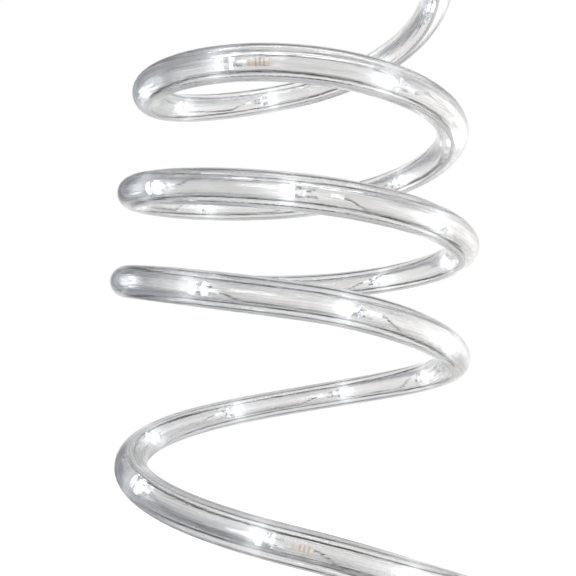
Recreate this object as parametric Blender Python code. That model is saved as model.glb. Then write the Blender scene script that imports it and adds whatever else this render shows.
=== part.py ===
"""A clear LED rope light, two metres long, standing as a loose left-handed coil.

Metres, +Z up. The origin is on the floor, at the middle of the coil's outline seen from above.
The photograph looks along +Y.
The rope is a clear PVC jacket with a bore for the LEDs and a channel on each side of it for
a bus wire. Both ends are closed by a clear cap.
"""

import math

import bmesh
import bpy
from mathutils import Matrix, Vector

NAME = "led_rope_light"

# LED
LED_DIAMETER = 0.0030
LED_BARREL = 0.0027
RIM_OVERHANG = 0.00025
RIM_THICKNESS = 0.0008
LEAD_THICKNESS = 0.0004
LEAD_SPACING = 0.0016
LEAD_LENGTH = 0.0030
LED_SIDES = 8
RIM_DIAMETER = LED_DIAMETER + 2 * RIM_OVERHANG
LED_LENGTH = LED_DIAMETER / 2 + LED_BARREL + RIM_THICKNESS

# Rope section, from the bore outwards. A channel is four-sided, with a corner towards the bore.
CLEARANCE = 0.0003
BORE_WALL = 0.0003
WIRE_DIAMETER = 0.0008
OUTER_WALL = 0.00075
BORE_DIAMETER = RIM_DIAMETER + 2 * CLEARANCE
CHANNEL = WIRE_DIAMETER + 2 * CLEARANCE / math.cos(math.radians(45))
WIRE_OFFSET = BORE_DIAMETER / 2 + BORE_WALL + CHANNEL / 2
ROPE_DIAMETER = 2 * (WIRE_OFFSET + CHANNEL / 2 + OUTER_WALL)

# LED chain: 24 LEDs to the metre, on a rope of 2 metres. The chain is pulled in by hand, so
# some of its LEDs sit a few millimetres up (minus) or down the rope from their even places.
LED_PITCH = 1 / 24
LED_COUNT = 48
STEPS_PER_LED = 3
LED_SHIFTS = {
    3: 0.0040,
    5: 0.0030,
    6: 0.0015,
    7: -0.0020,
    8: -0.0030,
    10: 0.0025,
    11: 0.0010,
    15: -0.0035,
    16: -0.0030,
    17: -0.0030,
    18: 0.0020,
    22: 0.0020,
    23: 0.0035,
    24: 0.0015,
    25: -0.0020,
    26: 0.0030,
    27: 0.0020,
    28: 0.0025,
    29: 0.0020,
    30: 0.0025,
    31: 0.0040,
    32: 0.0025,
}

# End caps
CAP_WALL = 0.0012
CAP_DEPTH = 0.0100
CAP_END = 0.0020
CAP_SIDES = 16
CAP_BORE = ROPE_DIAMETER + 2 * CLEARANCE
CAP_DIAMETER = CAP_BORE + 2 * CAP_WALL

# The standing turns: at each quarter turn, from the top down, how far the rope's middle line
# lies outside the coil's radius, and its height. They are uneven, as a loosely wound rope's
# are. The list starts at the left of the coil and goes on by the front, the right and the
# back. Its last row is where the rope lands on the floor.
COIL_RADIUS = 0.0500
ON_FLOOR = ROPE_DIAMETER / 2
STATIONS = (
    (-0.0060, 0.2310),
    (-0.0060, 0.2215),
    (-0.0055, 0.2105),
    (-0.0025, 0.1945),
    (-0.0040, 0.1780),
    (-0.0020, 0.1725),
    (-0.0015, 0.1635),
    (0.0005, 0.1525),
    (0.0000, 0.1470),
    (0.0020, 0.1390),
    (0.0010, 0.1285),
    (0.0010, 0.1210),
    (0.0020, 0.1200),
    (0.0000, 0.1125),
    (-0.0020, 0.0940),
    (-0.0005, 0.0785),
    (0.0000, 0.0670),
    (0.0005, 0.0530),
    (0.0060, 0.0240),
    (0.0100, ON_FLOOR),
)
TOP_END = 0.50
COIL_AXIS = (0.0005, -0.0028)

# The base winding: from there the rope lies flat and winds inwards, a rope and a cap's wall
# apart. Its last stretch lies level, lifted by the cap's wall.
WINDING_GAP = 0.0006
BASE_STEP = (ROPE_DIAMETER + CAP_DIAMETER) / 2 + WINDING_GAP
CAP_LIFT = (CAP_DIAMETER - ROPE_DIAMETER) / 2
LIFT_QUARTERS = 1.0
LEVEL_POINTS = 2
FINE_STEPS = 60

# Meshes: sides of the round tubes, the distance within which points are made one, and the
# angles over which an edge stays sharp
JACKET_SIDES = 12
BORE_SIDES = 8
SMALL_SIDES = 4
MERGE = 1e-6
TUBE_SHARP = math.radians(50)
TURNED_SHARP = math.radians(40)


def material(name, color, roughness, metallic=0.0, transmission=0.0, glow=0.0):
    made = bpy.data.materials.new(name)
    made.use_nodes = True
    shader = made.node_tree.nodes["Principled BSDF"]
    shader.inputs["Base Color"].default_value = (*color, 1.0)
    shader.inputs["Roughness"].default_value = roughness
    shader.inputs["Metallic"].default_value = metallic
    shader.inputs["Transmission Weight"].default_value = transmission
    shader.inputs["Emission Color"].default_value = (*color, 1.0)
    shader.inputs["Emission Strength"].default_value = glow
    return made


def collection(name):
    made = bpy.data.collections.new(name)
    bpy.context.scene.collection.children.link(made)
    return made


def slope(values, index):
    """The slope at a value, level at each end and wherever the values turn back."""
    if index in (0, len(values) - 1):
        return 0.0
    before, after = values[index] - values[index - 1], values[index + 1] - values[index]
    return 2 * before * after / (before + after) if before * after > 0 else 0.0


def smooth_value(values, position):
    """A cubic curve through values, one for each whole position, that never overshoots them."""
    start = min(int(position), len(values) - 2)
    t = position - start
    low, high = values[start], values[start + 1]
    eased = low + (high - low) * t * t * (3 - 2 * t)
    leaving = slope(values, start) * t * (1 - t) ** 2
    arriving = slope(values, start + 1) * t * t * (1 - t)
    return eased + leaving - arriving


def coil_point(quarters):
    """The middle line after so many quarter turns down from the first station."""
    landing = len(STATIONS) - 1
    standing = min(quarters, landing)
    radius = COIL_RADIUS + smooth_value([station[0] for station in STATIONS], standing)
    height = smooth_value([station[1] for station in STATIONS], standing)
    radius -= BASE_STEP * (quarters - standing) / 4
    angle = math.pi + quarters * math.pi / 2
    x, y = COIL_AXIS
    return Vector((x + radius * math.cos(angle), y + radius * math.sin(angle), height))


def rope_route():
    """Points along the rope, STEPS_PER_LED for each LED, at equal lengths from the top end."""
    step = LED_PITCH / STEPS_PER_LED
    count = LED_COUNT * STEPS_PER_LED + 1
    before, quarters, travelled = coil_point(TOP_END), TOP_END, 0.0
    route = [before]
    while len(route) < count:
        quarters += 1 / FINE_STEPS
        here = coil_point(quarters)
        while len(route) < count and travelled + (here - before).length >= step:
            before = before.lerp(here, (step - travelled) / (here - before).length)
            travelled = 0.0
            route.append(before)
        travelled += (here - before).length
        before = here
    lift_points = LIFT_QUARTERS * len(route) / (quarters - TOP_END)
    for index, point in enumerate(route):
        share = 1 + (index + LEVEL_POINTS - len(route)) / lift_points
        share = min(max(share, 0.0), 1.0)
        point.z += CAP_LIFT * share * share * (3 - 2 * share)
    return route


def side_route(route, offset):
    """The route moved sideways from the middle line, square to it and as near to up as it can be."""
    moved = []
    for index, point in enumerate(route):
        ahead = route[min(index + 1, len(route) - 1)] - route[max(index - 1, 0)]
        along = ahead.normalized()
        up = Vector((0, 0, 1))
        up = (up - up.dot(along) * along).normalized()
        moved.append(point + up * offset)
    return moved


def longer(route, extra):
    """The route with both of its ends run on, straight, by extra."""
    first = route[0] + (route[0] - route[1]).normalized() * extra
    last = route[-1] + (route[-1] - route[-2]).normalized() * extra
    return [first, *route[1:-1], last]


def tube(name, route, diameter, sides, home, finish=None):
    """A mesh tube along the route, with welded end faces. A bevelled curve has 4 sides or more."""
    curve = bpy.data.curves.new(name, "CURVE")
    curve.dimensions = "3D"
    curve.twist_mode = "Z_UP"
    curve.bevel_depth = diameter / 2
    curve.bevel_resolution = (sides - 4) // 2
    curve.use_fill_caps = True
    spline = curve.splines.new("POLY")
    spline.points.add(len(route) - 1)
    for point, place in zip(spline.points, route):
        point.co = (*place, 1.0)
    guide = bpy.data.objects.new(name + "_guide", curve)
    bpy.context.scene.collection.objects.link(guide)
    graph = bpy.context.evaluated_depsgraph_get()
    mesh = bpy.data.meshes.new_from_object(guide.evaluated_get(graph))
    bpy.data.objects.remove(guide)
    shape = bmesh.new()
    shape.from_mesh(mesh)
    bmesh.ops.remove_doubles(shape, verts=shape.verts, dist=MERGE)
    bmesh.ops.recalc_face_normals(shape, faces=shape.faces)
    shape.to_mesh(mesh)
    shape.free()
    mesh.name = name
    mesh.shade_smooth()
    mesh.set_sharp_from_angle(angle=TUBE_SHARP)
    made = bpy.data.objects.new(name, mesh)
    home.objects.link(made)
    if finish:
        mesh.materials.clear()
        mesh.materials.append(finish)
    return made


def cut(piece, cutter):
    cutter.hide_render = True
    cutter.display_type = "WIRE"
    modifier = piece.modifiers.new("cut_" + cutter.name, "BOOLEAN")
    modifier.operation = "DIFFERENCE"
    modifier.object = cutter


def turned(name, profile, sides, home, finish):
    """A solid turned about its own Z, from a profile of (radius, height) that runs top to bottom."""
    mesh = bpy.data.meshes.new(name)
    shape = bmesh.new()
    corners = [shape.verts.new((radius, 0, height)) for radius, height in profile]
    for start, end in zip(corners, corners[1:]):
        shape.edges.new((start, end))
    axis = {"axis": (0, 0, 1), "cent": (0, 0, 0)}
    geometry = shape.verts[:] + shape.edges[:]
    bmesh.ops.spin(shape, geom=geometry, angle=math.tau, steps=sides, use_merge=True, **axis)
    bmesh.ops.remove_doubles(shape, verts=shape.verts, dist=MERGE)
    bmesh.ops.recalc_face_normals(shape, faces=shape.faces)
    shape.to_mesh(mesh)
    shape.free()
    mesh.shade_smooth()
    mesh.set_sharp_from_angle(angle=TURNED_SHARP)
    mesh.materials.append(finish)
    made = bpy.data.objects.new(name, mesh)
    home.objects.link(made)
    return made


def facing(place, along):
    """A frame at place whose Z runs along the given direction, with its Y as near up as it can be."""
    z = along.normalized()
    x = Vector((0, 0, 1)).cross(z).normalized()
    y = z.cross(x)
    turn = Matrix((x, y, z)).transposed().to_4x4()
    return Matrix.Translation(place) @ turn


def led_shape(home, finish):
    """One LED: a bullet lens with a rim, and two leads that run on behind the rim."""
    lens, rim = LED_DIAMETER / 2, RIM_DIAMETER / 2
    top = LED_LENGTH / 2
    dome = top - lens
    middle = lens * math.sin(math.radians(45))
    bottom = -LED_LENGTH / 2
    profile = (
        (0, top),
        (middle, dome + middle),
        (lens, dome),
        (lens, bottom + RIM_THICKNESS),
        (rim, bottom + RIM_THICKNESS),
        (rim, bottom),
        (0, bottom),
    )
    body = turned("led", profile, LED_SIDES, home, finish)
    leads = bmesh.new()
    for side in (-1, 1):
        made = bmesh.ops.create_cube(leads, size=1.0)
        size = Vector((LEAD_THICKNESS, LEAD_THICKNESS, LEAD_LENGTH + RIM_THICKNESS / 2))
        middle_z = bottom - LEAD_LENGTH / 2 + RIM_THICKNESS / 4
        bmesh.ops.scale(leads, vec=size, verts=made["verts"])
        shift = Vector((side * LEAD_SPACING / 2, 0, middle_z))
        bmesh.ops.translate(leads, vec=shift, verts=made["verts"])
    mesh = bpy.data.meshes.new("leads")
    leads.to_mesh(mesh)
    leads.free()
    added = bpy.data.objects.new("leads", mesh)
    home.objects.link(added)
    union = body.modifiers.new("leads", "BOOLEAN")
    union.operation = "UNION"
    union.object = added
    graph = bpy.context.evaluated_depsgraph_get()
    whole = bpy.data.meshes.new_from_object(body.evaluated_get(graph))
    bpy.data.objects.remove(body)
    bpy.data.objects.remove(added)
    return whole


def leds(route, home, finish):
    """One LED in every third stretch, at its middle or shifted, its dome pointing up the rope."""
    mesh = led_shape(home, finish)
    for index in range(LED_COUNT):
        start = index * STEPS_PER_LED + STEPS_PER_LED // 2
        above, below = route[start], route[start + 1]
        shift = (below - above).normalized() * LED_SHIFTS.get(index + 1, 0.0)
        made = bpy.data.objects.new(f"led_{index + 1:02d}", mesh)
        made.matrix_world = facing((above + below) / 2 + shift, above - below)
        home.objects.link(made)


def cap(name, end, inner, home, finish):
    """A cup over one end of the rope. end is the rope's last point, inner the one before it."""
    bore, outside, floor = CAP_BORE / 2, CAP_DIAMETER / 2, CLEARANCE
    profile = (
        (0, floor + CAP_END),
        (outside, floor + CAP_END),
        (outside, -CAP_DEPTH),
        (bore, -CAP_DEPTH),
        (bore, floor),
        (0, floor),
    )
    made = turned(name, profile, CAP_SIDES, home, finish)
    made.matrix_world = facing(end, end - inner)


def clear_scene():
    for old in list(bpy.data.objects):
        bpy.data.objects.remove(old, do_unlink=True)


def build():
    clear_scene()
    home = collection(NAME)
    cutters = collection("cutters")
    clear_pvc = material("clear_pvc", (0.90, 0.92, 0.94), 0.08, transmission=0.9)
    cap_pvc = material("cap_pvc", (0.86, 0.88, 0.90), 0.15, transmission=0.8)
    tinned = material("tinned_copper", (0.62, 0.60, 0.58), 0.35, metallic=1.0)
    lens = material("led_lens", (0.93, 0.96, 1.0), 0.05, transmission=0.6, glow=1.5)

    route = rope_route()
    jacket = tube("jacket", route, ROPE_DIAMETER, JACKET_SIDES, home, clear_pvc)
    past_ends = longer(route, CLEARANCE * 2)
    cut(jacket, tube("bore_cutter", past_ends, BORE_DIAMETER, BORE_SIDES, cutters))
    for name, side in (("upper", 1), ("lower", -1)):
        path = side_route(route, side * WIRE_OFFSET)
        past_ends = longer(path, CLEARANCE * 2)
        cut(jacket, tube(name + "_channel_cutter", past_ends, CHANNEL, SMALL_SIDES, cutters))
        tube("bus_wire_" + name, path, WIRE_DIAMETER, SMALL_SIDES, home, tinned)
    leds(route, home, lens)
    cap("end_cap_top", route[0], route[1], home, cap_pvc)
    cap("end_cap_bottom", route[-1], route[-2], home, cap_pvc)


build()
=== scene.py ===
# %% [markdown]
# A clear LED rope light, wound as a loose coil that stands on its last turns. The rope is a
# clear PVC extrusion of 9.5 mm with a bore down its middle. A chain of small LEDs lies in the
# bore, joined by thin wires, and two stranded bus wires run in the PVC above and below it.
# Nearly everything here is seen through two or four curved surfaces, so the lesson is about
# clear plastic: true wall thicknesses, an environment worth refracting, and small real parts.

# %% The frame
import math
import random

import bmesh
import bpy
from mathutils import Matrix, Vector


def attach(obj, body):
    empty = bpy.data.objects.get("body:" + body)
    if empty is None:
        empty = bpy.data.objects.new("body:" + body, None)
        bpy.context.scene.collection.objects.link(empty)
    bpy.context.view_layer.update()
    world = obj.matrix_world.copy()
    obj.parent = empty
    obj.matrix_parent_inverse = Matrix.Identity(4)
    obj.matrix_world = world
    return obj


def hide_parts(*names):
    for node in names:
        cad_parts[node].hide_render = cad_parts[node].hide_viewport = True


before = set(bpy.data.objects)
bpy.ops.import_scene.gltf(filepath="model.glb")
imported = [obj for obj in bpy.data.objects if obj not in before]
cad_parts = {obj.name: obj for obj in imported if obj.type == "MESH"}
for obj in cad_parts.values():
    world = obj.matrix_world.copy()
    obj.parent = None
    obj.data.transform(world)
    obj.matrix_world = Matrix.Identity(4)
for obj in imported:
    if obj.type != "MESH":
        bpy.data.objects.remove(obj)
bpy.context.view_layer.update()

# %% [markdown]
# The rope's section repeats the sizes of the solids that this scene dresses. Starting from
# the LED, each layer outwards takes its size from the one inside it.

# %% The section of the rope
LED_DIAMETER = 0.0030
LED_BARREL = 0.0027
RIM_OVERHANG = 0.00025
RIM_THICKNESS = 0.0008
RIM_DIAMETER = LED_DIAMETER + 2 * RIM_OVERHANG
LED_LENGTH = LED_DIAMETER / 2 + LED_BARREL + RIM_THICKNESS
CLEARANCE = 0.0003
BORE_WALL = 0.0003
WIRE_DIAMETER = 0.0008
OUTER_WALL = 0.00075
BORE_DIAMETER = RIM_DIAMETER + 2 * CLEARANCE
CHANNEL = WIRE_DIAMETER + 2 * CLEARANCE / math.cos(math.radians(45))
WIRE_OFFSET = BORE_DIAMETER / 2 + BORE_WALL + CHANNEL / 2
ROPE_DIAMETER = 2 * (WIRE_OFFSET + CHANNEL / 2 + OUTER_WALL)
print("rope", round(ROPE_DIAMETER * 1000, 2), "mm, bore", round(BORE_DIAMETER * 1000, 2), "mm")

# %% [markdown]
# The route is the rope's middle line. A cord holds its length, so the line is not drawn freely:
# each quarter turn has a place outside or inside the coil's radius, and a height. A smooth curve
# runs through them, and points are read from it at equal lengths. The photograph gave the
# quarter turns, which are uneven as on any loosely wound rope. From its landing on, the rope
# winds inwards flat on the floor.

# %% The quarter turns, as distance outside the radius and height, from the top down
LED_PITCH = 1 / 24
LED_COUNT = 48
ROPE_LENGTH = LED_PITCH * LED_COUNT
COIL_RADIUS = 0.0500
COIL_AXIS = (0.0005, -0.0028)
ON_FLOOR = ROPE_DIAMETER / 2
STATIONS = (
    (-0.0060, 0.2310),
    (-0.0060, 0.2215),
    (-0.0055, 0.2105),
    (-0.0025, 0.1945),
    (-0.0040, 0.1780),
    (-0.0020, 0.1725),
    (-0.0015, 0.1635),
    (0.0005, 0.1525),
    (0.0000, 0.1470),
    (0.0020, 0.1390),
    (0.0010, 0.1285),
    (0.0010, 0.1210),
    (0.0020, 0.1200),
    (0.0000, 0.1125),
    (-0.0020, 0.0940),
    (-0.0005, 0.0785),
    (0.0000, 0.0670),
    (0.0005, 0.0530),
    (0.0060, 0.0240),
    (0.0100, ON_FLOOR),
)
TOP_END = 0.50
LANDING = len(STATIONS) - 1
print("the rope lands after", LANDING - TOP_END, "quarter turns")

# %% [markdown]
# The cap at the lower end is thicker than the rope. The winding on the floor leaves room for
# it, and the last quarter turn rises a little, so that the cap rests on the floor too.

# %% The winding on the floor
CAP_WALL = 0.0012
CAP_BORE = ROPE_DIAMETER + 2 * CLEARANCE
CAP_DIAMETER = CAP_BORE + 2 * CAP_WALL
WINDING_GAP = 0.0006
BASE_STEP = (ROPE_DIAMETER + CAP_DIAMETER) / 2 + WINDING_GAP
CAP_LIFT = (CAP_DIAMETER - ROPE_DIAMETER) / 2
LIFT_QUARTERS = 1.0
LEVEL_POINTS = 5
print("each turn on the floor is", round(BASE_STEP * 1000, 1), "mm further in")

# %% A smooth value between the quarter turns
def eased(share):
    """A share from 0 to 1 that leaves and arrives gently."""
    share = min(max(share, 0.0), 1.0)
    return share * share * (3 - 2 * share)


def slope(values, index):
    """The slope at a value, level at each end and wherever the values turn back."""
    if index in (0, len(values) - 1):
        return 0.0
    before, after = values[index] - values[index - 1], values[index + 1] - values[index]
    return 2 * before * after / (before + after) if before * after > 0 else 0.0


def smooth_value(values, position):
    """A cubic curve through values, one for each whole position, that never overshoots them."""
    start = min(int(position), len(values) - 2)
    t = position - start
    low, high = values[start], values[start + 1]
    leaving = slope(values, start) * t * (1 - t) ** 2
    arriving = slope(values, start + 1) * t * t * (1 - t)
    return low + (high - low) * eased(t) + leaving - arriving


def coil_point(quarters):
    """The middle line after so many quarter turns down from the first one."""
    standing = min(quarters, LANDING)
    radius = COIL_RADIUS + smooth_value([station[0] for station in STATIONS], standing)
    height = smooth_value([station[1] for station in STATIONS], standing)
    radius -= BASE_STEP * (quarters - standing) / 4
    angle = math.pi + quarters * math.pi / 2
    x, y = COIL_AXIS
    return Vector((x + radius * math.cos(angle), y + radius * math.sin(angle), height))


print("landing at", [round(value, 4) for value in coil_point(LANDING)])

# %% Points at equal lengths, twelve for each LED
STEPS_PER_LED = 12
STEP = LED_PITCH / STEPS_PER_LED
FINE_STEPS = 60


def rope_route():
    """The middle line from the top end down, as points that lie a step apart."""
    count = LED_COUNT * STEPS_PER_LED + 1
    before, quarters, travelled = coil_point(TOP_END), TOP_END, 0.0
    points = [before]
    while len(points) < count:
        quarters += 1 / FINE_STEPS
        here = coil_point(quarters)
        while len(points) < count and travelled + (here - before).length >= STEP:
            before = before.lerp(here, (STEP - travelled) / (here - before).length)
            travelled = 0.0
            points.append(before)
        travelled += (here - before).length
        before = here
    lifted = LIFT_QUARTERS * len(points) / (quarters - TOP_END)
    for index, point in enumerate(points):
        point.z += CAP_LIFT * eased(1 + (index + LEVEL_POINTS - len(points)) / lifted)
    return points


route = rope_route()
print("route", len(route), "points,", round(STEP * (len(route) - 1), 3), "m")

# %% [markdown]
# A small frame goes with each point of the route: towards the top end, sideways, and up. Up is
# as near to the real up as it can be while square to the rope. Everything inside the rope is
# placed by three numbers, the length from the top end and an offset sideways and up, so a
# wire that is straight in those numbers follows every bend of the coil.

# %% Frames along the rope
def directions(ahead, behind):
    """From one point of the rope to another: onwards, and square to that sideways and up."""
    onwards = (ahead - behind).normalized()
    side = Vector((0, 0, 1)).cross(onwards).normalized()
    return onwards, side, onwards.cross(side)


END_MARGIN = 0.001
last = len(route) - 1
frames = [directions(route[max(at - 1, 0)], route[min(at + 1, last)]) for at in range(last + 1)]


def frame_at(length):
    """The middle of the rope so far from its top end, and its frame there."""
    position = min(max(length / STEP, 0.0), last - END_MARGIN)
    index = int(position)
    share = position - index
    pairs = zip(frames[index], frames[index + 1])
    axes = [low.lerp(high, share).normalized() for low, high in pairs]
    return route[index].lerp(route[index + 1], share), axes


def inside(length, side=0.0, up=0.0):
    """A point in the rope: so far from its top end, and so far sideways and up from its middle."""
    middle, (_, sideways, upwards) = frame_at(length)
    return middle + sideways * side + upwards * up


def set_at(middle, onwards, side, up):
    """A matrix that moves a shape to a point of the rope, with its Z onwards and its Y up."""
    return Matrix.Translation(middle) @ Matrix((side, up, onwards)).transposed().to_4x4()


def seat(length, roll=0.0):
    """A place in the middle of the rope, with Z to the top end, rolled about it."""
    middle, axes = frame_at(length)
    return set_at(middle, *axes) @ Matrix.Rotation(roll, 4, "Z")


print("top end", [round(value, 4) for value in inside(0.0)])

# %% [markdown]
# The LED chain is pulled into the bore by hand, so its spacing is uneven. Each LED sits at an
# even place or, where the photograph shows it, a few millimetres up or down the rope from it.

# %% The places of the LEDs, down the rope from the top end
LED_SHIFTS = {
    3: 0.0040,
    5: 0.0030,
    6: 0.0015,
    7: -0.0020,
    8: -0.0030,
    10: 0.0025,
    11: 0.0010,
    15: -0.0035,
    16: -0.0030,
    17: -0.0030,
    18: 0.0020,
    22: 0.0020,
    23: 0.0035,
    24: 0.0015,
    25: -0.0020,
    26: 0.0030,
    27: 0.0020,
    28: 0.0025,
    29: 0.0020,
    30: 0.0025,
    31: 0.0040,
    32: 0.0025,
}
led_lengths = [
    LED_PITCH * (index + 0.5) + LED_SHIFTS.get(index + 1, 0.0) for index in range(LED_COUNT)
]
print("first LED", [round(value, 4) for value in inside(led_lengths[0])])

# %% [markdown]
# Some helpers shared by all pieces. A piece is a mesh whose place is in its points, while its
# object stays at the origin. A turned shape is a profile of a few points that spin turns into
# a full body: the profile is easy to read, and spin closes it on itself with use_merge.

# %% Helpers for pieces
UP_AXIS = {"axis": (0, 0, 1), "cent": (0, 0, 0)}
MERGE = 1e-6


def add_object(name, data):
    """Adds an object to the scene, at the origin."""
    made = bpy.data.objects.new(name, data)
    bpy.context.scene.collection.objects.link(made)
    return made


def put(name, mesh, material, replaced=()):
    """Puts a finished mesh into the scene as a piece of the one rigid body."""
    piece = add_object(name, mesh)
    mesh.name = name
    mesh.materials.clear()
    mesh.materials.append(material)
    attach(piece, "root")
    if replaced:
        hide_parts(*replaced)
    return piece


def turned(shape, profile, sides):
    """Adds a body turned about Z to a bmesh and returns its points."""
    corners = [shape.verts.new((radius, 0, height)) for radius, height in profile]
    edges = [shape.edges.new(pair) for pair in zip(corners, corners[1:])]
    before = set(shape.verts) - set(corners)
    bmesh.ops.spin(
        shape, geom=corners + edges, angle=math.tau, steps=sides, use_merge=True, **UP_AXIS
    )
    made = [vert for vert in shape.verts if vert not in before]
    bmesh.ops.remove_doubles(shape, verts=made, dist=MERGE)
    return [vert for vert in shape.verts if vert not in before]


def arc(radius, centre, start_degrees, end_degrees, parts):
    """Points of an arc in a profile, as (radius, height)."""
    out, height = centre
    points = []
    for index in range(parts + 1):
        angle = math.radians(start_degrees + (end_degrees - start_degrees) * index / parts)
        points.append((out + radius * math.cos(angle), height + radius * math.sin(angle)))
    return points


def to_mesh(shape, name, sharp_degrees=40):
    """Ends a bmesh as a mesh that is smooth, apart from its sharp edges."""
    bmesh.ops.recalc_face_normals(shape, faces=shape.faces)
    mesh = bpy.data.meshes.new(name)
    shape.to_mesh(mesh)
    shape.free()
    mesh.shade_smooth()
    mesh.set_sharp_from_angle(angle=math.radians(sharp_degrees))
    return mesh


# %% [markdown]
# Anything long and thin follows a curve. A curve carries its own outline along its points, so
# it is the shortest way to a tube that bends, and its mesh is read off once it is in the scene.

# %% Helpers for tubes and wires
def space_curve(name, runs):
    """A curve with one run of straight steps through each list of points."""
    curve = bpy.data.curves.new(name, "CURVE")
    curve.dimensions = "3D"
    curve.twist_mode = "Z_UP"
    for run in runs:
        spline = curve.splines.new("POLY")
        spline.points.add(len(run) - 1)
        for point, place in zip(spline.points, run):
            point.co = (*place, 1.0)
    return curve


def mesh_of(curve):
    """The mesh that a curve makes."""
    guide = add_object(curve.name + "_guide", curve)
    graph = bpy.context.evaluated_depsgraph_get()
    mesh = bpy.data.meshes.new_from_object(guide.evaluated_get(graph))
    bpy.data.objects.remove(guide)
    return mesh


def tube_mesh(name, runs, diameter, sides, caps=True):
    """A mesh of round tubes, one along each run of points."""
    curve = space_curve(name, runs)
    curve.bevel_depth = diameter / 2
    curve.bevel_resolution = (sides - 4) // 2
    curve.use_fill_caps = caps
    return mesh_of(curve)


# %% [markdown]
# Materials are made by a helper that fills a Principled shader from named values. The shader
# itself stays in the material, and so does everything that depends on how it is looked at.

# %% Helpers for materials
def rgb(red, green, blue):
    """A colour, opaque."""
    return (red, green, blue, 1.0)


def even(value):
    """A grey."""
    return rgb(value, value, value)


def tinted(amount, tint):
    """A tint at so much of its brightness."""
    return rgb(*(amount * part for part in tint))


def finish(name, **values):
    """A material, its nodes and its shader, with the shader's sockets at the values given."""
    made = bpy.data.materials.new(name)
    made.use_nodes = True
    shader = made.node_tree.nodes["Principled BSDF"]
    for socket, value in values.items():
        shader.inputs[socket.replace("_", " ")].default_value = value
    return made, made.node_tree, shader


# %% [markdown]
# The nodes in front of a shader take a value or the output of another node at each input. One
# helper adds a node with all of its inputs at once, and the others give a name to the few
# kinds that come back in nearly every material.

# %% Helpers for nodes
def add(tree, kind, inputs=(), **settings):
    """Adds a shader node. Each input takes a value or the output of another node."""
    node = tree.nodes.new("ShaderNode" + kind)
    for setting, value in settings.items():
        setattr(node, setting, value)
    for socket, value in dict(inputs).items():
        if isinstance(value, bpy.types.NodeSocket):
            tree.links.new(value, node.inputs[socket])
        else:
            node.inputs[socket].default_value = value
    return node


def attribute(tree, name):
    """The value of an attribute on the piece's points."""
    return add(tree, "Attribute", attribute_name=name).outputs["Fac"]


def calculated(tree, operation, *values):
    """The result of a Math node."""
    return add(tree, "Math", enumerate(values), operation=operation).outputs[0]


def mapped(tree, value, start, end, low=0.0, high=1.0, steps="LINEAR"):
    """A value that runs from low to high while another runs from start to end."""
    given = {"Value": value, "From Min": start, "From Max": end, "To Min": low, "To Max": high}
    return add(tree, "MapRange", given, interpolation_type=steps).outputs["Result"]


def mixed(tree, factor, first, second, blend="MIX"):
    """A colour that goes from a first to a second one."""
    given = {"Factor": factor, "A": first, "B": second}
    return add(tree, "Mix", given, data_type="RGBA", blend_type=blend).outputs["Result"]


def ramp(tree, value, stops, steps="LINEAR"):
    """A colour read from a row of colours, each of which has its stop."""
    node = add(tree, "ValToRGB", {"Fac": value})
    node.color_ramp.interpolation = steps
    row = node.color_ramp.elements
    row.remove(row[-1])
    row[0].position, row[0].color = stops[0]
    for position, colour in stops[1:]:
        row.new(position).color = colour
    return node.outputs["Color"]


def effect(name, inputs, result):
    """A node group with its inputs and the one value that it puts out."""
    group = bpy.data.node_groups.new(name, "ShaderNodeTree")
    for socket, kind in inputs.items():
        group.interface.new_socket(socket, in_out="INPUT", socket_type="NodeSocket" + kind)
    group.interface.new_socket(result, in_out="OUTPUT", socket_type="NodeSocketFloat")
    given = group.nodes.new("NodeGroupInput").outputs
    return group, given, group.nodes.new("NodeGroupOutput").inputs[result]


# %% [markdown]
# Small parts are never one even colour: moulded plastic shows its flow, plating is rubbed and
# solder is dull in places. That is one effect, a soft noise, so it is one node group. Each
# material places it with a scale of its own, and lets it choose between two colours and two
# values of roughness.

# %% Uneven finishes
NOISE_USED = (0.35, 0.65)


def uneven_group():
    group, given, amount = effect("uneven", {"Place": "Vector", "Scale": "Float"}, "Amount")
    spots = {"Vector": given["Place"], "Scale": given["Scale"], "Detail": 4.0}
    noise = add(group, "TexNoise", spots).outputs["Fac"]
    group.links.new(mapped(group, noise, *NOISE_USED), amount)
    return group


uneven = uneven_group()


def uneven_finish(name, scale, colours, roughness, **values):
    """A material that wanders between two colours and between two values of roughness."""
    made, tree, shader = finish(name, **values)
    place = add(tree, "TexCoord").outputs["Object"]
    spots = add(tree, "Group", {"Place": place, "Scale": scale}, node_tree=uneven)
    amount = spots.outputs["Amount"]
    tree.links.new(mixed(tree, amount, *colours), shader.inputs["Base Color"])
    tree.links.new(mapped(tree, amount, 0.0, 1.0, *roughness), shader.inputs["Roughness"])
    return made


print("uneven finishes share", uneven.name)

# %% [markdown]
# Extruded PVC has faint lines along its length, drawn by the die. They are the same effect on
# the jacket's outside and in its bore, so they are one node group. It reads the piece's UV map,
# where U runs along the rope and V around it. V is bent into a circle before it reaches the
# noise, so the pattern closes on itself without a seam.

# %% The drawn lines of an extrusion
def drawn_lines_group():
    sockets = {"UV": "Vector", "Along": "Float", "Around": "Float"}
    group, given, height = effect("drawn_lines", sockets, "Height")
    split = add(group, "SeparateXYZ", {"Vector": given["UV"]}).outputs
    turn = calculated(group, "MULTIPLY", split["Y"], math.tau)
    circle = {"Z": calculated(group, "MULTIPLY", split["X"], given["Along"])}
    for operation, socket in (("COSINE", "X"), ("SINE", "Y")):
        part = calculated(group, operation, turn)
        circle[socket] = calculated(group, "MULTIPLY", part, given["Around"])
    place = add(group, "CombineXYZ", circle).outputs["Vector"]
    grain = {"Vector": place, "Scale": 1.0, "Detail": 3.0, "Roughness": 0.6}
    group.links.new(add(group, "TexNoise", grain).outputs["Fac"], height)
    return group


drawn_lines = drawn_lines_group()


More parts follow.
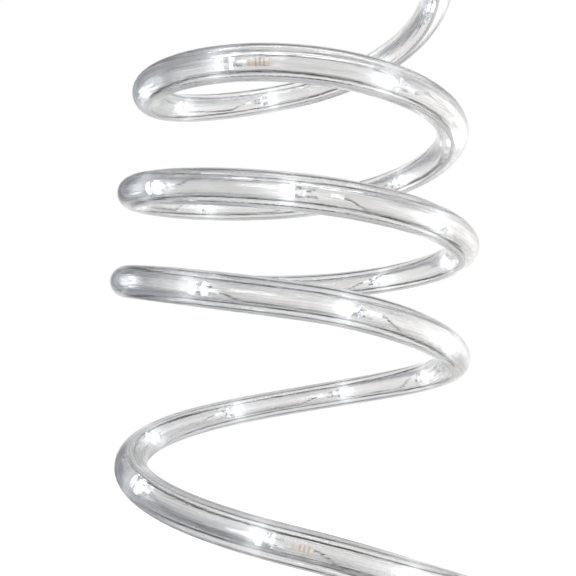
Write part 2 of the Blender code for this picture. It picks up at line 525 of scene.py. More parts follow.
def lines_of(tree, patterns):
    """Drawn lines summed up from patterns, each with its counts along and around and its share."""
    uv = add(tree, "UVMap", uv_map="UVMap").outputs["UV"]
    total = 0.0
    for along, around, share in patterns:
        counts = {"UV": uv, "Along": along, "Around": around}
        lines = add(tree, "Group", counts, node_tree=drawn_lines).outputs["Height"]
        total = calculated(tree, "MULTIPLY_ADD", lines, share, total)
    return total


print("drawn lines group", drawn_lines.name)

# %% [markdown]
# Clear PVC is a glass shader with the drawn lines in it twice, as a slight relief and as fine
# grey streaks. Plastic is never quite clear: it scatters some light, so it glows for a few
# millimetres around each LED. A ramp over the distance from the LED paints that glow on as
# emission, a painted glow, brighter in the bore than on the outside. The bore has a duller wall
# than the outside, which runs through a polished die.

# %% Clear PVC
PVC_IOR = 1.53
RELIEF_PATTERNS = ((25.0, 5.0, 1.6), (120.0, 1.6, 2.0), (16.0, 14.0, 0.6))
RELIEF_DEPTH = 0.0002
RELIEF_STRENGTH = 0.25
STREAK_PATTERNS = ((34.0, 12.0, 0.5), (70.0, 26.0, 0.5))
STREAK_STOPS = ((0.40, even(0.87)), (0.58, rgb(0.998, 0.996, 0.99)))
OUTSIDE_ROUGHNESS = 0.03
BORE_ROUGHNESS = 0.08
OUTSIDE_GLOW = 0.45
GLOW_REACH = 0.0150
GLOW_TINT = (0.90, 0.96, 1.0)
GLOW_STOPS = (
    (0.0, 0.0),
    (0.24, 0.015),
    (0.40, 0.060),
    (0.47, 0.190),
    (0.52, 0.190),
    (0.60, 0.060),
    (0.78, 0.015),
    (1.0, 0.0),
)


def clear_pvc():
    made, tree, shader = finish(
        "clear_pvc", IOR=PVC_IOR, Transmission_Weight=1.0, Emission_Strength=1.0
    )
    relief = {
        "Height": lines_of(tree, RELIEF_PATTERNS),
        "Distance": RELIEF_DEPTH,
        "Strength": RELIEF_STRENGTH,
    }
    streaks = ramp(tree, lines_of(tree, STREAK_PATTERNS), STREAK_STOPS)
    # The painted glow around each LED, as emission, set by the distance from it.
    reach = mapped(tree, attribute(tree, "from_glow"), -GLOW_REACH, GLOW_REACH)
    colours = [(stop, tinted(amount, GLOW_TINT)) for stop, amount in GLOW_STOPS]
    glow = ramp(tree, reach, colours, "EASE")
    share = attribute(tree, "glow_share")
    fed = {
        "Normal": add(tree, "Bump", relief).outputs["Normal"],
        "Base Color": streaks,
        "Emission Color": mixed(tree, share, even(0.0), glow),
        "Roughness": mapped(tree, share, OUTSIDE_GLOW, 1.0, OUTSIDE_ROUGHNESS, BORE_ROUGHNESS),
    }
    for socket, output in fed.items():
        tree.links.new(output, shader.inputs[socket])
    return made


pvc = clear_pvc()
print("clear PVC glows within", GLOW_REACH * 1000, "mm of an LED")

# %% [markdown]
# The jacket is a tube with a bore. Both walls are round curves turned to meshes, and their open
# ends are joined with bridge_loops, so light crosses four true surfaces on its way through. A
# single solid rod would bend the light too much, and would hide what lies inside. The bore's
# faces are turned round first. They have to point away from the PVC, into the air of the bore,
# or a glass material bends light the wrong way there.

# %% The jacket
OUTER_SIDES = 48
BORE_SIDES = 36
GLOW_AHEAD = 0.0019
glow_lengths = [length - GLOW_AHEAD for length in led_lengths]


def rope_wall(shape, name, diameter, sides, share, layers):
    """Adds one round wall of the jacket. Its points note how far down the rope they are."""
    down_rope, glow_share = layers
    known_verts, known_faces = len(shape.verts), len(shape.faces)
    wall = tube_mesh(name, [route], diameter, sides, caps=False)
    shape.from_mesh(wall)
    bpy.data.meshes.remove(wall)
    for index, vert in enumerate(shape.verts[known_verts:]):
        vert[down_rope] = STEP * (index // sides)
        vert[glow_share] = share
    return shape.faces[known_faces:]


def note_distances(shape, down_rope):
    """Notes at each corner of a face how far it is from the light of the nearest LED."""
    from_glow = shape.loops.layers.float.new("from_glow")
    for face in shape.faces:
        middle = sum(vert[down_rope] for vert in face.verts) / len(face.verts)
        nearest = min(glow_lengths, key=lambda length: abs(length - middle))
        for loop in face.loops:
            loop[from_glow] = nearest - loop.vert[down_rope]


def rope_body():
    """The two walls of the jacket, joined at their ends."""
    shape = bmesh.new()
    for name in ("down_rope", "glow_share"):
        shape.verts.layers.float.new(name)
    layers = [shape.verts.layers.float[name] for name in ("down_rope", "glow_share")]
    rope_wall(shape, "outside", ROPE_DIAMETER, OUTER_SIDES, OUTSIDE_GLOW, layers)
    bore_faces = rope_wall(shape, "bore", BORE_DIAMETER, BORE_SIDES, 1.0, layers)
    bmesh.ops.reverse_faces(shape, faces=bore_faces)
    for end in (route[0], route[-1]):
        rims = [
            edge
            for edge in shape.edges
            if edge.is_boundary and (edge.verts[0].co - end).length < ROPE_DIAMETER
        ]
        bmesh.ops.bridge_loops(shape, edges=rims)
    note_distances(shape, layers[0])
    return to_mesh(shape, "rope_jacket", sharp_degrees=60)


jacket = put("rope_jacket", rope_body(), pvc, ["jacket"])
print("jacket", len(jacket.data.polygons), "faces")

# %% [markdown]
# Each bus wire is a bundle of fine tinned strands, twisted together. A lobed outline that turns
# as it runs along the rope gives the twist in the shape itself. The curve's tilt does the
# turning, and its bevel object is the outline. An attribute on the wire's points says how far
# each one faces the bore.

# %% The shape of the bus wires
BUNDLE_DIAMETER = 0.0010
STRANDS = 6
STRAND_VALLEY = 0.80
LAY_LENGTH = 0.012
STEPS_PER_LAY = 8


def lobed_outline():
    """A flat ring with one lobe for each strand."""
    curve = bpy.data.curves.new("strand_outline", "CURVE")
    curve.dimensions = "2D"
    spline = curve.splines.new("POLY")
    spline.points.add(2 * STRANDS - 1)
    spline.use_cyclic_u = True
    for index, point in enumerate(spline.points):
        radius = BUNDLE_DIAMETER / 2 * (STRAND_VALLEY if index % 2 else 1.0)
        angle = math.tau * index / len(spline.points)
        point.co = (radius * math.cos(angle), radius * math.sin(angle), 0, 1)
    return add_object("strand_outline", curve)


def stranded_wire(name, offset):
    """A twisted bundle along the rope, above or below the bore."""
    count = round(ROPE_LENGTH / LAY_LENGTH * STEPS_PER_LAY)
    run = [inside(ROPE_LENGTH * index / count, up=offset) for index in range(count + 1)]
    curve = space_curve(name, [run])
    curve.bevel_mode = "OBJECT"
    curve.bevel_object = lobed_outline()
    curve.use_fill_caps = True
    for index, point in enumerate(curve.splines[0].points):
        point.tilt = math.tau * index / STEPS_PER_LAY
    shape = bmesh.new()
    shape.from_mesh(mesh_of(curve))
    bpy.data.objects.remove(curve.bevel_object)
    bmesh.ops.remove_doubles(shape, verts=shape.verts, dist=MERGE)
    to_bore = shape.verts.layers.float.new("to_bore")
    for index, vert in enumerate(shape.verts):
        ring = min(index // (2 * STRANDS), count)
        middle, (_, _, up) = frame_at(ROPE_LENGTH * ring / count)
        height = (vert.co - middle).dot(up)
        vert[to_bore] = (abs(offset) - abs(height)) / (BUNDLE_DIAMETER / 2)
    return to_mesh(shape, name + "_mesh", sharp_degrees=80)


wire_meshes = {
    "upper": stranded_wire("stranded_wire_upper", WIRE_OFFSET),
    "lower": stranded_wire("stranded_wire_lower", -WIRE_OFFSET),
}
print("twisted bundles", sum(len(mesh.polygons) for mesh in wire_meshes.values()), "faces")

# %% [markdown]
# Under the PVC the wire's side towards the bore gets a painted shade, a dark colour, while the
# side away from it is painted pale, with a faint painted glow. Seen from the front, that painted
# shade is the thin dark line along each edge of the bore. Two ramps over the attribute paint both.

# %% Tinned copper
PAINTED_SHADE_FROM = 0.15
PAINTED_SHADE_TO = 0.45
# Painted light and shade on the wire: a pale lit colour with a painted glow, and a dark painted
# shade towards the bore.
WIRE_PAINTED_SHADE_AND_GLOW = {
    "Base Color": (rgb(0.66, 0.65, 0.64), even(0.10)),
    "Emission Color": (rgb(0.24, 0.245, 0.25), even(0.0)),
}


def tinned_copper():
    made, tree, shader = finish(
        "tinned_copper", Metallic=0.6, Roughness=0.4, Emission_Strength=1.0
    )
    to_bore = attribute(tree, "to_bore")
    for socket, (lit, shaded) in WIRE_PAINTED_SHADE_AND_GLOW.items():
        colour = ramp(tree, to_bore, ((PAINTED_SHADE_FROM, lit), (PAINTED_SHADE_TO, shaded)))
        tree.links.new(colour, shader.inputs[socket])
    return made


tinned = tinned_copper()
for place, mesh in wire_meshes.items():
    name = f"stranded_wire_{place}"
    put(name, mesh, tinned, [f"bus_wire_{place}"])

# %% [markdown]
# A 3 mm LED is a bullet of clear epoxy with a rim at its back, and the rim has one flat. The
# light comes out of the dome, and some of it runs back in the epoxy and lights up the rim. An
# attribute that runs from 0 at the back to 1 at the tip tells the material where it is.

# %% The shape of an LED
LENS_SIDES = 24
DOME_PARTS = 6
NECK_HEIGHT = RIM_THICKNESS * 1.2
RIM_FLAT = LED_DIAMETER / 2 + RIM_OVERHANG * 0.3


def led_lens():
    """The epoxy of one LED, its dome up and its middle at the origin."""
    lens, rim = LED_DIAMETER / 2, RIM_DIAMETER / 2
    bottom, top = -LED_LENGTH / 2, LED_LENGTH / 2
    dome = arc(lens, (0, top - lens), 90, 0, DOME_PARTS)
    dome[0] = (0, top)
    back = [(lens, bottom + NECK_HEIGHT), (rim, bottom + RIM_THICKNESS), (rim, bottom), (0, bottom)]
    shape = bmesh.new()
    turned(shape, [*dome, *back], LENS_SIDES)
    geometry = shape.verts[:] + shape.edges[:] + shape.faces[:]
    bmesh.ops.bisect_plane(
        shape, geom=geometry, plane_co=(RIM_FLAT, 0, 0), plane_no=(1, 0, 0), clear_outer=True
    )
    rims = [edge for edge in shape.edges if edge.is_boundary]
    bmesh.ops.holes_fill(shape, edges=rims)
    to_tip = shape.verts.layers.float.new("to_tip")
    for vert in shape.verts:
        vert[to_tip] = (vert.co.z - bottom) / LED_LENGTH
    return shape


# %% The LEDs' epoxy
EPOXY_TINT = (0.95, 0.98, 1.0)
EPOXY_LIGHT = ((0.05, 0.10), (0.10, 0.10), (0.14, 0.01), (0.5, 0.02), (0.66, 0.5))
EPOXY_BACK = even(0.03)
EPOXY_TIP = rgb(0.90, 0.95, 1.0)


def led_epoxy():
    made, tree, shader = finish(
        "led_epoxy",
        Base_Color=rgb(0.97, 0.98, 1.0),
        Roughness=0.08,
        IOR=1.5,
        Transmission_Weight=1.0,
        Emission_Strength=2.0,
    )
    lit = [(stop, tinted(amount, EPOXY_TINT)) for stop, amount in EPOXY_LIGHT]
    light = ramp(tree, attribute(tree, "to_tip"), [(0.0, EPOXY_BACK), *lit, (1.0, EPOXY_TIP)])
    tree.links.new(light, shader.inputs["Emission Color"])
    return made


epoxy = led_epoxy()
print("the epoxy's light has", len(EPOXY_LIGHT) + 2, "stops")

# %% [markdown]
# Every LED is rolled about the rope by a seeded chance, because nobody turns them all one way
# when the chain is pulled in.

# %% The LEDs
ROLL_RANGE = (0.8, 2.2)
rolls = random.Random(24)
led_rolls = [rolls.uniform(*ROLL_RANGE) for _ in range(LED_COUNT)]
lenses = []
for index, length in enumerate(led_lengths):
    shape = led_lens()
    bmesh.ops.transform(shape, matrix=seat(length, led_rolls[index]), verts=shape.verts)
    number = f"{index + 1:02d}"
    lens = to_mesh(shape, f"lens_{number}_mesh")
    lenses.append(put(f"led_lens_{number}", lens, epoxy, [f"led_{number}"]))
print(len(lenses), "LED lenses,", len(lenses[0].data.polygons), "faces each")

# %% [markdown]
# Inside the epoxy stand two flat posts of plated steel, which come out at the back as the
# leads. One post carries a cup with the chip, under a drop of phosphor that glows. These are
# too small to be told apart at arm's length, but through a clear rope they are the grey
# clutter behind each light, so all of them are made, in one mesh.

# %% Posts, cups and leads
POST_SPACING = 0.0016
LEAD_THICKNESS = 0.0004
LEAD_LENGTH = 0.0030
SHORT_LEAD = LEAD_LENGTH * 0.8
POSTS = ((-1, 0.0022, LEAD_LENGTH), (1, 0.0026, SHORT_LEAD))
POST_HEAD = (LEAD_THICKNESS * 2.0, LEAD_THICKNESS * 0.9, 0.0008)
HEAD_INWARDS = LEAD_THICKNESS * 0.4
CUP_RADIUS = 0.00055
CUP_FOOT = 0.0004
CUP_HEIGHT = 0.0006
CUP_ASIDE = 0.0003
CUP_ABOVE_BACK = 0.0031


def box(shape, size, centre):
    """Adds a box and returns its points."""
    made = bmesh.ops.create_cube(shape, size=1.0)["verts"]
    bmesh.ops.scale(shape, vec=size, verts=made)
    bmesh.ops.translate(shape, vec=centre, verts=made)
    return made


def lead_frame(shape, place):
    """Two posts with their leads, and the cup, of one LED."""
    back = -LED_LENGTH / 2
    made = []
    for side, reach, lead in POSTS:
        post = (LEAD_THICKNESS, LEAD_THICKNESS, reach + lead)
        made += box(shape, post, (side * POST_SPACING / 2, 0, back + (reach - lead) / 2))
        head = (side * (POST_SPACING / 2 - HEAD_INWARDS), 0, back + reach)
        made += box(shape, POST_HEAD, head)
    cup = bmesh.ops.create_cone(
        shape, cap_ends=True, segments=12, radius1=CUP_FOOT, radius2=CUP_RADIUS, depth=CUP_HEIGHT
    )["verts"]
    bmesh.ops.translate(shape, vec=(CUP_ASIDE, 0, back + CUP_ABOVE_BACK), verts=cup)
    bmesh.ops.transform(shape, matrix=place, verts=made + cup)


def all_lead_frames():
    shape = bmesh.new()
    for length, roll in zip(led_lengths, led_rolls):
        lead_frame(shape, seat(length, roll))
    return to_mesh(shape, "led_lead_frames")


plated = uneven_finish(
    "plated_steel",
    scale=900,
    colours=(even(0.62), even(0.80)),
    roughness=(0.20, 0.36),
    Metallic=1.0,
)
lead_frames = put("led_lead_frames", all_lead_frames(), plated)
print("lead frames", len(lead_frames.data.polygons), "faces")

# %% [markdown]
# The chip in the cup is blue, and a drop of yellow phosphor over it turns its light white. The
# drop is the brightest thing in the scene. Round drops this small need only a coarse sphere.

# %% The drops of phosphor
DROP_RADIUS = 0.0005
DROP_ABOVE_BACK = 0.0036


def phosphor_drops():
    shape = bmesh.new()
    place = (CUP_ASIDE, 0, -LED_LENGTH / 2 + DROP_ABOVE_BACK)
    for length, roll in zip(led_lengths, led_rolls):
        drop = bmesh.ops.create_icosphere(shape, subdivisions=2, radius=DROP_RADIUS)["verts"]
        bmesh.ops.translate(shape, vec=place, verts=drop)
        bmesh.ops.transform(shape, matrix=seat(length, roll), verts=drop)
    return to_mesh(shape, "phosphor_drops")


phosphor = uneven_finish(
    "lit_phosphor",
    scale=1500,
    colours=(rgb(0.90, 0.80, 0.40), rgb(0.95, 0.88, 0.55)),
    roughness=(0.45, 0.60),
    Emission_Color=rgb(0.95, 0.97, 1.0),
    Emission_Strength=5.0,
)
drops = put("phosphor_drops", phosphor_drops(), phosphor)
print("phosphor drops", len(drops.data.polygons), "faces")

# %% [markdown]
# The LEDs are wired in a chain. One lead of each LED ends in a short bright sleeve. From there a
# thin enamelled wire drops to the wall of the bore, follows it, slips past the next LED's lens
# and ends at that LED's other lead, in a dull blob of solder. Most places come from a seeded
# chance, so that no two look alike. A few are listed, where the photograph shows them: how
# far behind the LED the sleeve starts, its length, its height over the middle, and the side of
# the bore that its wire drops to, in degrees.

# %% The places of the sleeves
JOINTS_SEEN = {
    8: (0.0010, 0.0030, 0.0004, 75),
    15: (0.0030, 0.0030, 0.0004, 80),
    16: (0.0062, 0.0032, 0.0002, -95),
    23: (0.0010, 0.0030, -0.0004, -80),
    24: (0.0004, 0.0052, 0.0005, -85),
    31: (0.0040, 0.0058, 0.0004, -95),
}
BEHIND_RANGE = (0.0010, 0.0050)
LONG_RANGE = (0.0020, 0.0035)
UP_RANGE = (-0.0008, 0.0008)
LEAN_RANGE = (-130, -50)
SIDE_PLAY = 0.0006
START_HIGHER = 0.0002
END_LOWER = 0.0001
chance = random.Random(5)
sleeves, leans = [], []
for index in range(LED_COUNT - 1):
    by_chance = (
        chance.uniform(*BEHIND_RANGE),
        chance.uniform(*LONG_RANGE),
        chance.uniform(*UP_RANGE),
        chance.uniform(*LEAN_RANGE) * chance.choice((1, 1, -1)),
    )
    behind, long, up, lean = JOINTS_SEEN.get(index + 1, by_chance)
    start = led_lengths[index] + LED_LENGTH / 2 + behind
    side = chance.uniform(-SIDE_PLAY, SIDE_PLAY)
    sleeves.append(((start, side, up + START_HIGHER), (start + long, side, up - END_LOWER)))
    leans.append(math.radians(lean))
print(len(sleeves), "sleeves,", len(JOINTS_SEEN), "set by hand")

# %% The sleeves at the leads
SLEEVE_DIAMETER = 0.0005
SLEEVE_SIDES = 10
sleeve_runs = [[inside(*low), inside(*high)] for low, high in sleeves]
# The sleeves are white with a painted glow, as emission.
sleeve_white_painted_glow = uneven_finish(
    "joint_sleeve",
    scale=800,
    colours=(rgb(0.88, 0.87, 0.85), rgb(0.97, 0.96, 0.95)),
    roughness=(0.25, 0.40),
    Emission_Color=rgb(1.0, 1.0, 0.99),
    Emission_Strength=0.9,
)
sleeve_mesh = tube_mesh("sleeves_mesh", sleeve_runs, SLEEVE_DIAMETER, SLEEVE_SIDES)
sleeve_mesh.shade_smooth()
sleeve_piece = put("joint_sleeves", sleeve_mesh, sleeve_white_painted_glow)
print("sleeves", len(sleeve_piece.data.polygons), "faces")

# %% [markdown]
# Each link wire lies loosely in the bore, so it is drawn in the rope's own numbers: a place
# sideways and up that eases from the sleeve to the wall of the bore, drifts round it a little
# and eases back to the next LED.

# %% The link wires
LINK_DIAMETER = 0.00030
LINK_SIDES = 6
WALL_AIR = 0.00003
ALONG_WALL = BORE_DIAMETER / 2 - LINK_DIAMETER / 2 - WALL_AIR
TO_WALL = 0.0075
FROM_WALL = 0.0060
ENDS_BEHIND = 0.0012
END_PLAY = 0.0008
DRIFT = 0.6
LINK_POINTS = 40


def link_run(index, chance):
    """The points of the wire from one LED's sleeve to the next LED's back."""
    start, side, up = sleeves[index][1]
    end = led_lengths[index + 1] + LED_LENGTH / 2 + ENDS_BEHIND
    goal = chance.uniform(-END_PLAY, END_PLAY), chance.uniform(-END_PLAY, END_PLAY)
    drift = chance.uniform(-DRIFT, DRIFT)
    run = []
    for step in range(LINK_POINTS + 1):
        t = step / LINK_POINTS
        length = start + (end - start) * t
        angle = leans[index] + drift * t
        wall = ALONG_WALL * math.cos(angle), ALONG_WALL * math.sin(angle)
        near, far = 1 - eased((length - start) / TO_WALL), 1 - eased((end - length) / FROM_WALL)
        place = [
            wall[axis] * (1 - near - far) + (side, up)[axis] * near + goal[axis] * far
            for axis in (0, 1)
        ]
        run.append(inside(length, *place))
    return run


def link_wires():
    chance = random.Random(7)
    runs = [link_run(index, chance) for index in range(LED_COUNT - 1)]
    return tube_mesh("links_mesh", runs, LINK_DIAMETER, LINK_SIDES)


wire_grey = uneven_finish(
    "link_wire",
    scale=400,
    colours=(even(0.12), rgb(0.24, 0.23, 0.22)),
    roughness=(0.30, 0.50),
    Metallic=0.6,
)
links = put("link_wires", link_wires(), wire_grey)
links.data.shade_smooth()
print("link wires", len(links.data.polygons), "faces")

# %% [markdown]
# Solder sets in a blob that is longer than it is wide. Each blob is a small sphere, stretched
# by a seeded chance and set on a lead.

# %% The solder
BLOB_RADIUS = 0.00030
BLOB_LOWER = 0.0001
BLOB_BEHIND = (0.0006, 0.0021)
STRETCHES = ((0.8, 1.1), (0.7, 1.0), (1.2, 2.2))


def solder_blobs():
    chance = random.Random(11)
    shape = bmesh.new()
    for length, roll in zip(led_lengths, led_rolls):
        for side in (-1, 1):
            back = length + LED_LENGTH / 2 + chance.uniform(*BLOB_BEHIND)
            blob = bmesh.ops.create_icosphere(shape, subdivisions=2, radius=BLOB_RADIUS)["verts"]
            stretch = [chance.uniform(*limits) for limits in STRETCHES]
            bmesh.ops.scale(shape, vec=stretch, verts=blob)
            bmesh.ops.translate(shape, vec=(side * POST_SPACING / 2, -BLOB_LOWER, 0), verts=blob)
            bmesh.ops.transform(shape, matrix=seat(back, roll), verts=blob)
    return to_mesh(shape, "solder_mesh")


solder = uneven_finish(
    "solder",
    scale=1200,
    colours=(even(0.28), even(0.45)),
    roughness=(0.35, 0.60),
    Metallic=1.0,
)
blobs = put("solder_blobs", solder_blobs(), solder)
print("solder", len(blobs.data.polygons), "faces")

# %% [markdown]
# Once in every dozen LEDs a small carbon-film resistor lies in the chain. Its body has the
# usual bone shape, so half of its profile is written down, as shares of its thickness and
# length, and the other half is the same upside down.

# %% The resistors
RESISTORS_AFTER = (8, 20, 31, 43)
RESISTOR_LENGTH = 0.0060
RESISTOR_DIAMETER = 0.0017
RESISTOR_BACK = 0.0068
RESISTOR_SIDES = 20
BONE_PROFILE = ((0.5, 1.0), (0.9, 0.93), (1.0, 0.75), (0.97, 0.55), (0.86, 0.42))


def resistor(shape, along_body, place):
    """Adds one resistor. Its points note how far up the body they are, from 0 to 1."""
    half, fat = RESISTOR_LENGTH / 2, RESISTOR_DIAMETER / 2
    upper = [(fat * wide, half * high) for wide, high in BONE_PROFILE]
    lower = [(wide, -high) for wide, high in reversed(upper)]
    made = turned(shape, [(0, half), *upper, *lower, (0, -half)], RESISTOR_SIDES)
    for vert in made:
        vert[along_body] = (vert.co.z + half) / RESISTOR_LENGTH
    bmesh.ops.transform(shape, matrix=place, verts=made)


def all_resistors():
    shape = bmesh.new()
    along_body = shape.verts.layers.float.new("along_body")
    for number in RESISTORS_AFTER:
        back = led_lengths[number - 1] + LED_LENGTH / 2 + RESISTOR_BACK
        resistor(shape, along_body, seat(back))
    return to_mesh(shape, "resistors")


# %% [markdown]
# The body is dipped in tan lacquer and has four colour rings. An attribute along the body
# places the rings, so that the ring pattern follows the body in any direction.

# %% The resistors' lacquer
TAN = rgb(0.86, 0.78, 0.69)
RING_WIDTH = 0.09
RINGS = (
    (0.16, rgb(0.66, 0.53, 0.46)),
    (0.34, rgb(0.60, 0.55, 0.52)),
    (0.52, rgb(0.69, 0.52, 0.46)),
    (0.80, rgb(0.78, 0.69, 0.56)),
)


def resistor_lacquer():
    stops = [(0.0, TAN)]
    for start, colour in RINGS:
        stops += [(start, colour), (start + RING_WIDTH, TAN)]
    made, tree, shader = finish("resistor_lacquer", Roughness=0.35, Emission_Strength=0.35)
    rings = ramp(tree, attribute(tree, "along_body"), stops, "CONSTANT")
    # The lacquer and ring colours also feed the emission, as a faint painted glow.
    for socket in ("Base Color", "Emission Color"):
        tree.links.new(rings, shader.inputs[socket])
    return made


resistors = put("resistors", all_resistors(), resistor_lacquer())
print("resistors", len(resistors.data.polygons), "faces")

# %% [markdown]
# A moulded clear cap closes each end of the rope. It is a cup with rounded edges, a little
# thicker at its closed end. The profile gives the cup, and bevel rounds the edges.

# %% The end caps
CAP_DEPTH = 0.0100
CAP_END = 0.0020
CAP_SIDES = 48
CAP_ROUNDING = 0.0005
SHARP_ANGLE = 1.0


def cap_mesh(name, end, inner):
    """A cup over one end of the rope, whose profile runs from its middle round to its inside."""
    bore, outside, inner_end = CAP_BORE / 2, CAP_DIAMETER / 2, CLEARANCE
    profile = [
        (0, inner_end + CAP_END),
        (outside, inner_end + CAP_END),
        (outside, -CAP_DEPTH),
        (bore, -CAP_DEPTH),
        (bore, inner_end),
        (0, inner_end),
    ]
    shape = bmesh.new()
    turned(shape, profile, CAP_SIDES)
    rims = [
        edge
        for edge in shape.edges
        if len(edge.link_faces) == 2
        and abs(edge.verts[0].co.z - edge.verts[1].co.z) < MERGE
        and edge.calc_face_angle() > SHARP_ANGLE
    ]
    bmesh.ops.bevel(
        shape,
        geom=rims,
        offset=CAP_ROUNDING,
        segments=3,
        profile=0.5,
        affect="EDGES",
        material=-1,
        clamp_overlap=True,
    )
    place = set_at(end, *directions(end, inner))
    bmesh.ops.transform(shape, matrix=place, verts=shape.verts)
    return to_mesh(shape, name)


cap_pvc = uneven_finish(
    "cap_pvc",
    scale=260,
    colours=(rgb(0.89, 0.90, 0.91), rgb(0.97, 0.97, 0.98)),
    roughness=(0.05, 0.16),
    IOR=PVC_IOR,
    Transmission_Weight=1.0,
)
for place, end, inner in (("top", route[0], route[1]), ("bottom", route[-1], route[-2])):
    mesh = cap_mesh(f"moulded_cap_{place}", end, inner)
    put(mesh.name, mesh, cap_pvc, [f"end_cap_{place}"])

# %% [markdown]
# The rope is two metres of a stiff round extrusion, wound as a coil, with its caps and the two
# bus wires going with it.

# %% [markdown]
# The camera stands a little left of the coil's axis, 234 mm in front of it, and looks slightly
# up. These are real distances, worked out from the coil's outline in the photograph.

# %% The camera
CAMERA_PLACE = (COIL_AXIS[0] - 0.0025, COIL_AXIS[1] - 0.234, 0.106)
PITCH_UP = 3.0
FOCAL_PIXELS = 749
IMAGE_PIXELS = 576

camera_data = bpy.data.cameras.new("camera")
camera_data.sensor_width = 36.0
camera_data.lens = camera_data.sensor_width * FOCAL_PIXELS / IMAGE_PIXELS
camera_data.clip_start = 0.01
camera = add_object("camera", camera_data)
camera.location = CAMERA_PLACE
camera.rotation_euler = (math.radians(90 + PITCH_UP), 0, 0)
bpy.context.scene.camera = camera
print("lens", round(camera_data.lens, 2), "mm")

# %% [markdown]
# Clear plastic shows nothing but its surroundings, bent. On a white page the body of the rope
# stays pale, and its dark outlines come from the directions that its edges bend to. So the
# world is a room, painted by direction: pale around the horizon, grey below, brighter towards
# the right, with a dark upright at the left, split by a light gap, and dark corners under the
# ceiling. The upright leans a little, which keeps it off the lower turns. The camera itself
# sees a plain white backdrop.

# %% The colours of the room, from below to above and from left to right
ROOM_UPWARDS = (
    (0.0, rgb(0.40, 0.41, 0.43)),
    (0.10, rgb(0.40, 0.41, 0.43)),
    (0.20, rgb(0.48, 0.49, 0.51)),
    (0.28, rgb(0.755, 0.745, 0.735)),
    (0.50, rgb(0.83, 0.82, 0.81)),
    (0.70, even(0.77)),
    (1.0, rgb(0.76, 0.77, 0.79)),
)
ROOM_ACROSS = (
    (0.0, rgb(0.80, 0.82, 0.85)),
    (0.09, rgb(0.74, 0.76, 0.80)),
    (0.12, rgb(0.22, 0.24, 0.28)),
    (0.16, rgb(0.28, 0.30, 0.35)),
    (0.19, rgb(0.62, 0.64, 0.68)),
    (0.22, rgb(0.28, 0.30, 0.35)),
    (0.26, rgb(0.32, 0.34, 0.39)),
    (0.33, rgb(0.90, 0.91, 0.93)),
    (0.45, even(1.0)),
    (0.75, rgb(1.42, 1.41, 1.41)),
    (1.0, rgb(2.6, 2.6, 2.62)),
)
UPRIGHT_LEAN = math.radians(15)
CORNER_GREY = rgb(0.36, 0.365, 0.38)
CORNER_FROM = (0.20, 0.45)
CEILING_FROM = (0.38, 0.60)
print("room of", len(ROOM_UPWARDS), "by", len(ROOM_ACROSS), "colours")

# %% The surroundings
def surroundings():
    world = bpy.data.worlds.new("white_room")
    bpy.context.scene.world = world
    world.use_nodes = True
    tree = world.node_tree
    place = add(tree, "TexCoord").outputs["Generated"]
    split = add(tree, "SeparateXYZ", {"Vector": place}).outputs
    heights = ramp(tree, mapped(tree, split["Z"], -1.0, 1.0), ROOM_UPWARDS)
    lean = (math.cos(UPRIGHT_LEAN), 0.0, -math.sin(UPRIGHT_LEAN))
    leaned = add(tree, "VectorMath", {0: place, 1: lean}, operation="DOT_PRODUCT")
    across = mapped(tree, leaned.outputs["Value"], -1.0, 1.0)
    room = mixed(tree, 1.0, heights, ramp(tree, across, ROOM_ACROSS), "MULTIPLY")
    aside = calculated(tree, "ABSOLUTE", split["X"])
    in_corner = mapped(tree, aside, *CORNER_FROM, steps="SMOOTHSTEP")
    under_ceiling = mapped(tree, split["Z"], *CEILING_FROM, steps="SMOOTHSTEP")
    corner = calculated(tree, "MULTIPLY", in_corner, under_ceiling)
    room = mixed(tree, corner, room, CORNER_GREY)
    seen = add(tree, "LightPath").outputs["Is Camera Ray"]
    backdrop = tree.nodes["Background"].inputs["Color"]
    tree.links.new(mixed(tree, seen, room, even(1.0)), backdrop)
    return world


print("world", surroundings().name)
bpy.context.scene.view_settings.view_transform = "Standard"

# %% [markdown]
# The rope stands on white paper. Through the plastic the paper shows painted shade, grey at the
# left and in front, and painted light behind. The camera sees the paper itself, almost white,
# with the rope's soft shadow on it. Light Path tells the two apart.

# %% The floor
FLOOR_SIZE = 0.70
# Painted shade across the paper, dark at the left and light at the right, seen only through the
# plastic.
PAPER_PAINTED_SHADE = ((0.30, rgb(0.26, 0.275, 0.31)), (0.65, rgb(0.76, 0.75, 0.74)))
SHADED_TO = -0.060
LIT_FROM = 0.000
FRONT_SHADE = 0.35
REAR_SHADE = 1.25


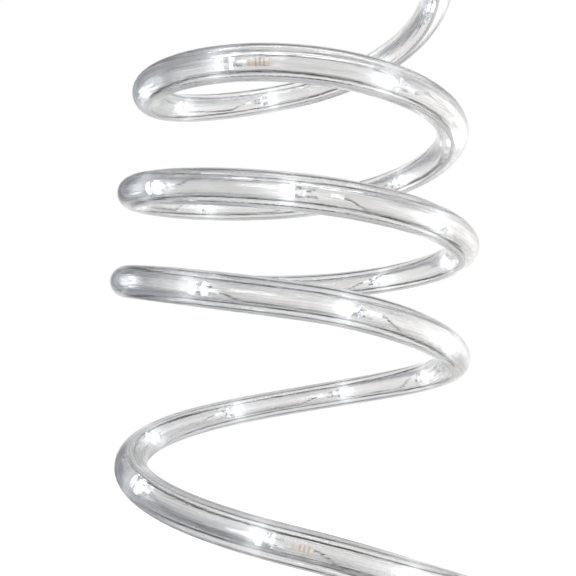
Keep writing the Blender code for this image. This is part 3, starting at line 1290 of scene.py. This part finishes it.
def floor_paper():
    made, tree, shader = finish(
        "floor_paper",
        Base_Color=even(0.9),
        Roughness=0.9,
        Emission_Color=even(1.0),
        Emission_Strength=0.45,
    )
    place = add(tree, "TexCoord").outputs["Object"]
    split = add(tree, "SeparateXYZ", {"Vector": place}).outputs
    across = mapped(tree, split["X"], -FLOOR_SIZE / 2, FLOOR_SIZE / 2)
    behind = mapped(
        tree, split["Y"], SHADED_TO, LIT_FROM, FRONT_SHADE, REAR_SHADE, steps="SMOOTHSTEP"
    )
    glow = add(tree, "Emission", {"Color": ramp(tree, across, PAPER_PAINTED_SHADE), "Strength": behind})
    seen = add(tree, "LightPath").outputs["Is Camera Ray"]
    either = {"Fac": seen, 1: glow.outputs["Emission"], 2: shader.outputs["BSDF"]}
    chosen = add(tree, "MixShader", either).outputs["Shader"]
    tree.links.new(chosen, tree.nodes["Material Output"].inputs["Surface"])
    return made


def floor():
    shape = bmesh.new()
    bmesh.ops.create_grid(shape, x_segments=1, y_segments=1, size=FLOOR_SIZE / 2)
    mesh = bpy.data.meshes.new("floor")
    shape.to_mesh(mesh)
    shape.free()
    mesh.materials.append(floor_paper())
    piece = add_object("floor", mesh)
    return piece


print("floor", floor().dimensions[:2])

# %% [markdown]
# Two soft boxes give the white streaks on the rope. A long narrow one hangs overhead and draws
# a line along the top of each turn. A wider one stands in front at the left, a little higher
# than the rope, and shows in the bore as well.

# %% Soft boxes
MIDDLE = (0, 0, 0.12)


def soft_box(name, place, size, watts):
    """A rectangle of light that faces the middle of the rope."""
    light = bpy.data.lights.new(name, "AREA")
    light.shape = "RECTANGLE"
    light.size, light.size_y = size
    light.energy = watts
    holder = add_object(name, light)
    holder.location = place
    aim = Vector(MIDDLE) - Vector(place)
    holder.rotation_euler = aim.to_track_quat("-Z", "Y").to_euler()
    holder.visible_camera = False


soft_box("overhead", place=(0.0, -0.05, 0.80), size=(0.9, 0.06), watts=1.2)
soft_box("front_left", place=(-0.35, -0.90, 0.34), size=(0.45, 0.22), watts=2.4)

# %% [markdown]
# Clear layers in front of clear layers need more bounces than the default: each strand takes
# four, and strands lie behind each other.

# %% Bounces
cycles = bpy.context.scene.cycles
cycles.max_bounces = 24
cycles.transmission_bounces = 24
cycles.sample_clamp_indirect = 4.0
print("bounces", cycles.max_bounces)
